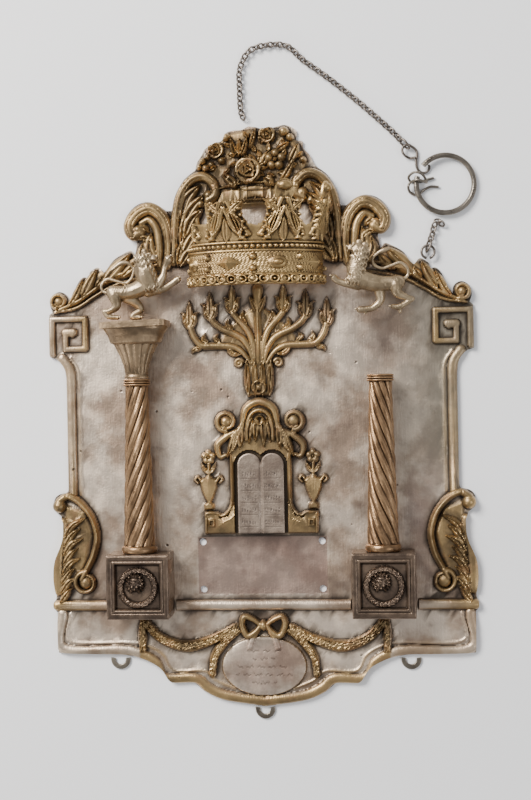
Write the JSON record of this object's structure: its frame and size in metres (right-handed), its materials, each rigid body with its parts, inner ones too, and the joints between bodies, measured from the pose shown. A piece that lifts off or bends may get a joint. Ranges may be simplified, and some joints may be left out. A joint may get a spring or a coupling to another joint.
{
  "type": "torah shield",
  "caption": "Embossed parcel-gilt silver torah shield lying face up, with openwork crown, lions, twisted columns, tablets, a bare title-plate seat, and a broken chain with its hanging ring.",
  "frame": {"origin": "centre of the plate on its flat back, midway between its sides and midway between its foot and the top of its crest", "axes": "+Z out of the shield's face, +Y to its crest, +X to the right of someone who faces it"},
  "size_m": [0.2726, 0.4261, 0.0316],
  "materials": {
    "silver": "tarnished, mottled brown and lilac, worn and pitted",
    "gilt": "worn gilding, dark in the recesses",
    "dark_metal": "dark tarnish"
  },
  "bodies": {
    "root": {"plate": "silver", "tablets": "silver", "crown": "gilt", "lion_left": "gilt", "lion_right": "gilt", "capital_left": "gilt", "column_left": "gilt", "column_right": "gilt", "pedestal_left": "dark_metal", "pedestal_right": "dark_metal", "bell_ring_left": "dark_metal", "bell_ring_middle": "dark_metal", "bell_ring_right": "dark_metal", "crest_eyelet": "dark_metal", "chain_remnant": "dark_metal", "chain": "dark_metal", "s_hook": "dark_metal", "wire_hook": "dark_metal", "hanging_ring": "dark_metal"}
  },
  "joints": []
}
